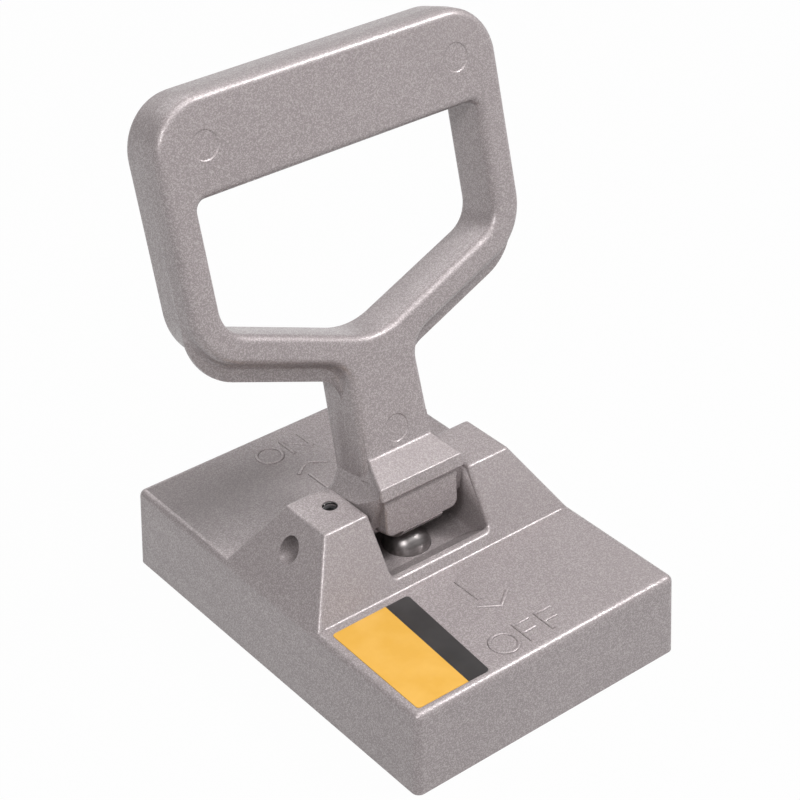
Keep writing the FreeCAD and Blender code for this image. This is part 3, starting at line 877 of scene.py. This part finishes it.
@dataclass
class Lettering(PlainAssembly):
    """Raised words and arrows on the base's top, cast with it as narrow ribs."""

    top: float
    foot: float = 1.7
    crest: float = 0.75
    rise: float = 0.36
    sunk: float = 0.1
    cap_height: float = 9.0
    off_line: float = -69.0
    off_places: tuple[float, float, float] = (-10.6, -3.2, 5.6)
    on_line: float = 56.9
    on_places: tuple[float, float] = (-6.7, 0.8)
    bow_radius: float = 4.5
    bow_steps: int = 48
    head_bar_share: float = 0.68
    waist_bar_share: float = 0.55
    waist_share: float = 0.52
    n_width_share: float = 0.85
    crossing_drop: float = 0.02
    arrow_tail: float = 32.3
    arrow_end: float = 44.0
    arrow_tip: float = 50.4
    shaft_x: float = -2.7
    head_x: float = 0.4
    barb_width: float = 6.2
    barb_drop: float = 4.4

    def letter_o(self, x: float, line: float) -> Stroke:
        """Round stroke of a letter O.

        Args:
            x: its middle.
            line: the line that the letters stand on.

        Returns:
            The stroke, closed.
        """
        turns = [math.tau * step / self.bow_steps for step in range(self.bow_steps)]
        high = line + self.cap_height / 2
        points = [
            (x + self.bow_radius * math.cos(turn), high + self.bow_radius * math.sin(turn))
            for turn in turns
        ]
        return Stroke(points, closed=True)

    def letter_f(self, x: float, line: float) -> list[Stroke]:
        """Strokes of a letter F.

        Args:
            x: its stem.
            line: the line that the letters stand on.

        Returns:
            The stem with the upper bar, and the lower bar.
        """
        head = line + self.cap_height
        waist = line + self.waist_share * self.cap_height
        upper = x + self.head_bar_share * self.cap_height
        lower = x + self.waist_bar_share * self.cap_height
        return [
            Stroke([(x, line), (x, head), (upper, head)]),
            Stroke([(x, waist), (lower, waist)], lower=self.crossing_drop),
        ]

    def letter_n(self, x: float, line: float) -> list[Stroke]:
        """Strokes of a letter N.

        Args:
            x: its left stem.
            line: the line that the letters stand on.

        Returns:
            The two stems and the slope between them.
        """
        head = line + self.cap_height
        far = x + self.n_width_share * self.cap_height
        return [
            Stroke([(x, line), (x, head)]),
            Stroke([(far, line), (far, head)]),
            Stroke([(x, head), (far, line)], lower=self.crossing_drop),
        ]

    def arrow(self, way: int) -> list[Stroke]:
        """Strokes of an arrow: a shaft that stops short of an open head.

        Args:
            way: 1 towards the ON end, -1 towards the OFF end.

        Returns:
            The shaft and the head.
        """
        shaft, back = self.shaft_x, self.arrow_tip - self.barb_drop
        head = [
            (self.head_x - self.barb_width, way * back),
            (self.head_x, way * self.arrow_tip),
            (self.head_x + self.barb_width, way * back),
        ]
        return [
            Stroke([(shaft, way * self.arrow_tail), (shaft, way * self.arrow_end)]),
            Stroke(head),
        ]

    def signs(self) -> dict[str, list[Stroke]]:
        """Strokes of each word and arrow.

        Returns:
            The strokes, by the piece's name.
        """
        off, on = self.off_line, self.on_line
        off_o, off_f, off_last = self.off_places
        on_o, on_n = self.on_places
        return {
            "raised_off": [
                self.letter_o(off_o, off),
                *self.letter_f(off_f, off),
                *self.letter_f(off_last, off),
            ],
            "raised_on": [self.letter_o(on_o, on), *self.letter_n(on_n, on)],
            "arrow_off": self.arrow(-1),
            "arrow_on": self.arrow(1),
        }

    def ribs(self) -> SweepNodes:
        """Build the nodes that sweep a rib with sloped sides along drawn lines.

        Returns:
            The nodes.
        """
        ribs = SweepNodes("rib_sweep", "Lines")
        path = ribs.node("GeometryNodeMeshToCurve")
        ribs.tree.links.new(ribs.start.outputs["Lines"], path.inputs["Mesh"])
        profile = ribs.node("GeometryNodeCurvePrimitiveQuadrilateral")
        profile.mode = "TRAPEZOID"
        profile.inputs["Offset"].default_value = 0.0
        # the sweep lays the profile's top edge downward
        ribs.size("Foot", self.foot * MM, profile, "Top Width")
        ribs.size("Crest", self.crest * MM, profile, "Bottom Width")
        ribs.size("Height", (self.rise + self.sunk) * MM, profile, "Height")
        ribs.close(ribs.sweep(path, profile, caps=True), "Ribs", self.material)
        return ribs

    def build(self) -> list[bpy.types.Object]:
        """Sweep the ribs of each word and arrow.

        Returns:
            The pieces.
        """
        ribs = self.ribs()
        middle = self.top + (self.rise - self.sunk) / 2
        made = []
        for name, strokes in self.signs().items():
            points: list[Vector] = []
            edges: list[tuple[int, int]] = []
            for stroke in strokes:
                first = len(points)
                points += [Vector((x, y, middle - stroke.lower)) * MM for x, y in stroke.points]
                edges += [(index, index + 1) for index in range(first, len(points) - 1)]
                if stroke.closed:
                    edges.append((len(points) - 1, first))
            piece = ribs.piece(name, points, edges)
            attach(piece, Body.BASE.value)
            made.append(piece)
        return made


@dataclass
class RidgeFillets(PlainAssembly):
    """Small hollow rounds cast where the ridge's long faces meet the base's top."""

    top: float
    radius: float = 1.2
    sunk: float = 0.6
    half_length: float = 48.5
    feet: dict[str, tuple[float, float]] = field(
        default_factory=lambda: {"front": (-25.2, 58.1), "back": (23.4, 57.7)}
    )
    steps: int = 8
    sharp_deg: float = CAST_SHARP_DEG

    def ring(self, foot: float, slope_deg: float) -> list[Vector]:
        """Section of one round: its hollow face and a root inside the casting.

        Args:
            foot: place of the crease along Y.
            slope_deg: slope of the ridge's face.

        Returns:
            The section's corners at the strip's left end.
        """
        way = math.copysign(1.0, foot)
        slope = math.radians(slope_deg)
        middle = foot + way * self.radius * math.tan(slope / 2)
        points = [(foot - way * self.sunk, -self.sunk)]
        for step in range(self.steps + 1):
            turn = slope * step / self.steps
            points.append(
                (middle - way * self.radius * math.sin(turn), self.radius * (1 - math.cos(turn)))
            )
        return [Vector((-self.half_length, y, self.top + z)) for y, z in points]

    def build(self) -> list[bpy.types.Object]:
        """Sweep both rounds along the ridge.

        Returns:
            The pieces.
        """
        made = []
        for name, (foot, slope_deg) in self.feet.items():
            shape = prism(self.ring(foot, slope_deg), Vector((2 * self.half_length, 0.0, 0.0)))
            shade(shape, self.sharp_deg)
            piece = shaped_piece(f"ridge_fillet_{name}", shape)
            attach(piece, Body.BASE.value)
            made.append(piece)
        return made


@dataclass
class MarkRims(PlainAssembly):
    """Sloped rims inside the round marks that the mould's pins left on the handle's front."""

    radius: float = 4.65
    front: float = 7.2
    lean_deg: float = 14.4
    places: tuple[Point, ...] = ((-46.45, 132.7), (46.45, 132.7), (0.0, 26.5))
    section: tuple[Point, ...] = ((0.03, 0.01), (0.03, 0.31), (-0.5, 0.31), (-0.22, 0.22))
    steps: int = 48
    sharp_deg: float = 40.0

    def rims(self) -> SweepNodes:
        """Build the nodes that set one rim on every mark's place.

        Returns:
            The nodes.
        """
        rims = SweepNodes("mark_rims", "Places")
        circle = rims.node("GeometryNodeCurvePrimitiveCircle")
        circle.inputs["Resolution"].default_value = self.steps
        rims.size("Radius", self.radius * MM, circle, "Radius")
        swept = rims.sweep(circle, rims.corners(self.section), caps=False)
        turn = (math.radians(90.0 - self.lean_deg), 0.0, 0.0)
        rims.close(rims.spread(swept, turn), "Rims", self.material)
        return rims

    def build(self) -> list[bpy.types.Object]:
        """Set the rims into the marks.

        Returns:
            The rims, as one piece.
        """
        low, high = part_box("pivot_pin")
        pin = (low + high) / 2
        turn = Matrix.Rotation(-math.radians(self.lean_deg), 3, "X")
        points = [pin + turn @ Vector((x, -self.front, z)) * MM for x, z in self.places]
        piece = self.rims().piece("mould_mark_rims", points, angle_deg=self.sharp_deg)
        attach(piece, Body.HANDLE.value)
        return [piece]


@dataclass
class TappedThread(PlainAssembly):
    """Thread cut in the set screw's hole, above the screw."""

    screw: str = "pin_set_screw"
    radius: float = 2.5
    pitch: float = 0.8
    above: float = 0.25
    height: float = 1.1
    section: tuple[Point, ...] = ((0.12, -0.36), (0.12, 0.36), (-0.3, 0.06), (-0.3, -0.06))
    steps: int = 36

    def thread(self) -> SweepNodes:
        """Build the nodes that sweep the thread's section along a helix.

        Returns:
            The nodes.
        """
        thread = SweepNodes("tapped_thread", "Seat")
        helix = thread.node("GeometryNodeCurveSpiral")
        helix.inputs["Resolution"].default_value = self.steps
        thread.size("Turns", self.height / self.pitch, helix, "Rotations")
        thread.size("Radius", self.radius * MM, helix, "Start Radius", "End Radius")
        thread.size("Height", self.height * MM, helix, "Height")
        swept = thread.sweep(helix, thread.corners(self.section), caps=True)
        thread.close(thread.spread(swept), "Thread", self.material)
        return thread

    def build(self) -> list[bpy.types.Object]:
        """Sweep the thread above the set screw.

        Returns:
            The thread.
        """
        low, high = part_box(self.screw)
        seat = Vector(((low.x + high.x) / 2, (low.y + high.y) / 2, high.z + self.above * MM))
        piece = self.thread().piece("tapped_thread", [seat])
        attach(piece, Body.BASE.value)
        return [piece]


@dataclass
class LabelPlate(SubAssembly):
    """Bare two-colour label on the base's top."""

    field_material: bpy.types.Material
    band_material: bpy.types.Material
    top: float
    thickness: float = 0.18
    corners: tuple[Point, ...] = ((-49.4, -71.0), (-22.2, -71.2), (-18.6, -28.2), (-48.4, -28.4))
    band_share: float = 0.3
    corner_radius: float = 1.2
    corner_steps: int = 5

    def build(self) -> list[bpy.types.Object]:
        """Make the plate, its band as faces of a second material.

        Returns:
            The plate.
        """
        outline = rounded(self.corners, self.corner_radius, self.corner_steps)
        ring = [Vector((x, y, self.top)) for x, y in outline]
        shape = prism(ring, Vector((0.0, 0.0, self.thickness)))
        left_low, right_low, right_high, left_high = (Vector(c) * MM for c in self.corners)
        low = right_low.lerp(left_low, self.band_share)
        high = right_high.lerp(left_high, self.band_share)
        along = (high - low).normalized()
        across = Vector((along.y, -along.x, 0.0))
        edge = Vector((low.x, low.y, 0.0))
        geometry = [*shape.verts, *shape.edges, *shape.faces]
        bmesh.ops.bisect_plane(shape, geom=geometry, plane_co=edge, plane_no=across, dist=CUT_SNAP)
        for face in shape.faces:
            face.material_index = 1 if (face.calc_center_median() - edge).dot(across) > 0 else 0
        piece = shaped_piece("label_plate", shape)
        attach(piece, Body.BASE.value)
        return [piece]

    def dress(self, made: Sequence[bpy.types.Object]) -> None:
        """Print the field and the band."""
        for piece in made:
            paint(piece, self.field_material, self.band_material)


@dataclass
class Plunger(PlainAssembly):
    """Release plunger with a polished dome."""

    node: str = "release_plunger"
    sharp_deg: float = 30.0

    def build(self) -> list[bpy.types.Object]:
        """Copy the plunger and let the copy stand for it.

        Returns:
            The copy.
        """
        copy = smooth_copy(self.node, "polished_plunger", self.sharp_deg)
        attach(copy, Body.PLUNGER.value)
        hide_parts(self.node)
        return [copy]


@dataclass
class ReturnSpring(PlainAssembly):
    """Coil spring under the plunger's head; its copy keeps the CAD length."""

    node: str = "plunger_spring"
    slide: str = "plunger_slide"
    sharp_deg: float = 40.0

    def build(self) -> list[bpy.types.Object]:
        """Copy the spring and let the copy ride on the base.

        Returns:
            The copy.
        """
        coil = smooth_copy(self.node, "return_spring", self.sharp_deg)
        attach(coil, Body.BASE.value)
        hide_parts(self.node)
        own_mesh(coil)
        return [coil]


@dataclass
class Hardware(SubAssembly):
    """CAD nodes that keep their own meshes: pin, screws, poles, magnets and covers."""

    materials: dict[Slot, bpy.types.Material]

    def finishes(self) -> dict[str, bpy.types.Material]:
        """Find the finish of every node whose record slot has one here.

        Returns:
            The materials, by the node's name.
        """
        named = {slot.value: material for slot, material in self.materials.items()}
        return {
            entry["node"]: named[entry["material_slot"]]
            for entry in frame["record"]["subparts"]
            if entry["material_slot"] in named
        }

    def build(self) -> list[bpy.types.Object]:
        """List the nodes, which the frame has built already."""
        return [frame["nodes"][name] for name in self.finishes()]

    def dress(self, made: Sequence[bpy.types.Object]) -> None:
        """Give every node the finish of its record slot."""
        for node, material in zip(made, self.finishes().values()):
            paint(node, material)


# Stage


@dataclass(frozen=True)
class Lamp:
    """Square area lamp, in metres and watts."""

    name: str
    place: Place
    aim: Place
    side: float
    power: float

    def build(self) -> None:
        """Hang the lamp so that it faces its aim."""
        light = bpy.data.lights.new(self.name, "AREA")
        light.size = self.side
        light.energy = self.power
        lamp = bpy.data.objects.new(self.name, light)
        lamp.location = self.place
        way = Vector(self.aim) - Vector(self.place)
        lamp.rotation_euler = way.to_track_quat("-Z", "Y").to_euler()
        bpy.context.scene.collection.objects.link(lamp)


@dataclass
class Studio:
    """Pale floor, soft lamps and a white surround."""

    floor_size: float = 6.0
    floor_grey: Colour = (0.28, 0.28, 0.28, 1.0)
    floor_white: float = 0.98
    world_white: Colour = (1.0, 1.0, 1.0, 1.0)
    world_strength: float = 0.36
    lamps: tuple[Lamp, ...] = (
        Lamp("key", (0.62, -0.43, 0.95), (0.0, 0.0, 0.06), 0.2, 8.5),
        Lamp("near", (-0.76, -0.51, 0.87), (0.0, 0.0, 0.06), 0.25, 5.5),
        Lamp("top", (0.1, -0.4, 1.3), (0.0, 0.0, 0.06), 1.0, 9.0),
        Lamp("back", (0.1, 1.0, 1.0), (0.0, 0.0, 0.08), 1.0, 4.0),
    )

    def build(self) -> None:
        """Make the floor, the lamps and the world."""
        self.floor()
        for lamp in self.lamps:
            lamp.build()
        self.surround()

    def floor(self) -> None:
        """Make the floor, white to the camera and in reflections but for the object's shadow."""
        bpy.ops.mesh.primitive_plane_add(size=self.floor_size)
        floor = bpy.context.object
        floor.name = "floor"
        new = MaterialNodes("pale_floor")
        new.set_inputs(new.shader, {"Base Color": self.floor_grey, "Roughness": 1.0})
        path = new.nodes.new("ShaderNodeLightPath")
        seen = new.combine("MAXIMUM", path.outputs["Is Camera Ray"], path.outputs["Is Glossy Ray"])
        seen = new.combine("MAXIMUM", seen, path.outputs["Is Transmission Ray"])
        glow = new.nodes.new("ShaderNodeEmission")
        mix = new.nodes.new("ShaderNodeMixShader")
        new.links.new(new.combine("MULTIPLY", seen, self.floor_white), mix.inputs["Fac"])
        new.links.new(new.shader.outputs["BSDF"], mix.inputs[1])
        new.links.new(glow.outputs["Emission"], mix.inputs[2])
        new.links.new(mix.outputs["Shader"], new.nodes["Material Output"].inputs["Surface"])
        floor.data.materials.append(new.material)

    def surround(self) -> None:
        """Make a world that is white to the camera and dimmer as a light."""
        world = bpy.data.worlds.new("surround")
        bpy.context.scene.world = world
        world.use_nodes = True
        nodes, links = world.node_tree.nodes, world.node_tree.links
        back = nodes["Background"]
        back.inputs["Color"].default_value = self.world_white
        strength = nodes.new("ShaderNodeMapRange")
        strength.inputs["To Min"].default_value = self.world_strength
        strength.inputs["To Max"].default_value = 1.0
        path = nodes.new("ShaderNodeLightPath")
        links.new(path.outputs["Is Camera Ray"], strength.inputs["Value"])
        links.new(strength.outputs["Result"], back.inputs["Strength"])


@dataclass
class PhotoCamera:
    """Camera at the photograph's angle, as fitted to the object's edges, in millimetres."""

    azimuth_deg: float = -38.309
    elevation_deg: float = 33.214
    roll_deg: float = -0.937
    aim: Place = (0.0, 0.0, 20.0)
    slide_right: float = -0.622
    slide_up: float = -50.473
    distance: float = 691.864
    focal_px: float = 2120.959
    frame_px: float = 800.0
    sensor: float = 36.0
    clip_near: float = 10.0
    clip_far: float = 100000.0

    def build(self) -> None:
        """Make the camera and set it as the scene's."""
        turn, rise = math.radians(self.azimuth_deg), math.radians(self.elevation_deg)
        level = math.cos(rise)
        back = Vector((math.sin(turn) * level, -math.cos(turn) * level, math.sin(rise)))
        right = Vector((0.0, 0.0, 1.0)).cross(back).normalized()
        right.rotate(Matrix.Rotation(math.radians(self.roll_deg), 3, back))
        up = back.cross(right)
        eye = Vector(self.aim) + back * self.distance
        eye -= right * self.slide_right + up * self.slide_up
        data = bpy.data.cameras.new("photo_camera")
        data.sensor_width = self.sensor
        data.lens = self.focal_px / self.frame_px * self.sensor
        data.clip_start = self.clip_near * MM
        data.clip_end = self.clip_far * MM
        camera = bpy.data.objects.new("photo_camera", data)
        turned = Matrix((right, up, back)).transposed().to_4x4()
        camera.matrix_world = Matrix.Translation(eye * MM) @ turned
        bpy.context.scene.collection.objects.link(camera)
        bpy.context.scene.camera = camera


def sub_assemblies() -> list[SubAssembly]:
    """Set up every sub-assembly with its materials.

    Returns:
        The sub-assemblies, in the order that they are built in.
    """
    effects = Effects()
    cast = SHOT_BLASTED.make(effects)
    # steel with painted shade, shared by the plunger and the steel hardware
    steel = SHADE_DARKENED_STEEL.make(effects)
    top = base_top()
    return [
        Castings(cast),
        Lettering(cast, top),
        RidgeFillets(cast, top),
        MarkRims(cast),
        TappedThread(SHADE_DARKENED_THREAD_METAL.make(effects)),
        LabelPlate(LABEL_YELLOW.make(effects), LABEL_BLACK.make(effects), top),
        Plunger(steel),
        ReturnSpring(DRAWN_WIRE.make(effects)),
        Hardware(
            {
                Slot.STEEL: steel,
                Slot.BLACK_STEEL: BLACKENED_STEEL.make(effects),
                Slot.POLE_STEEL: GROUND_POLES.make(effects),
                Slot.MAGNET: MAGNET_BLOCKS.make(effects),
                Slot.BRASS: GROUND_BRASS.make(effects),
            }
        ),
    ]


def main() -> None:
    """Build the looks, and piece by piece."""
    bpy.context.scene.view_settings.view_transform = "Standard"
    for assembly in sub_assemblies():
        made = assembly.build()
        assembly.dress(made)
        for piece in made:
            LOG.info("%s: %s", type(assembly).__name__, piece.name)
    Studio().build()
    PhotoCamera().build()


if __name__ == "__main__":
    main()
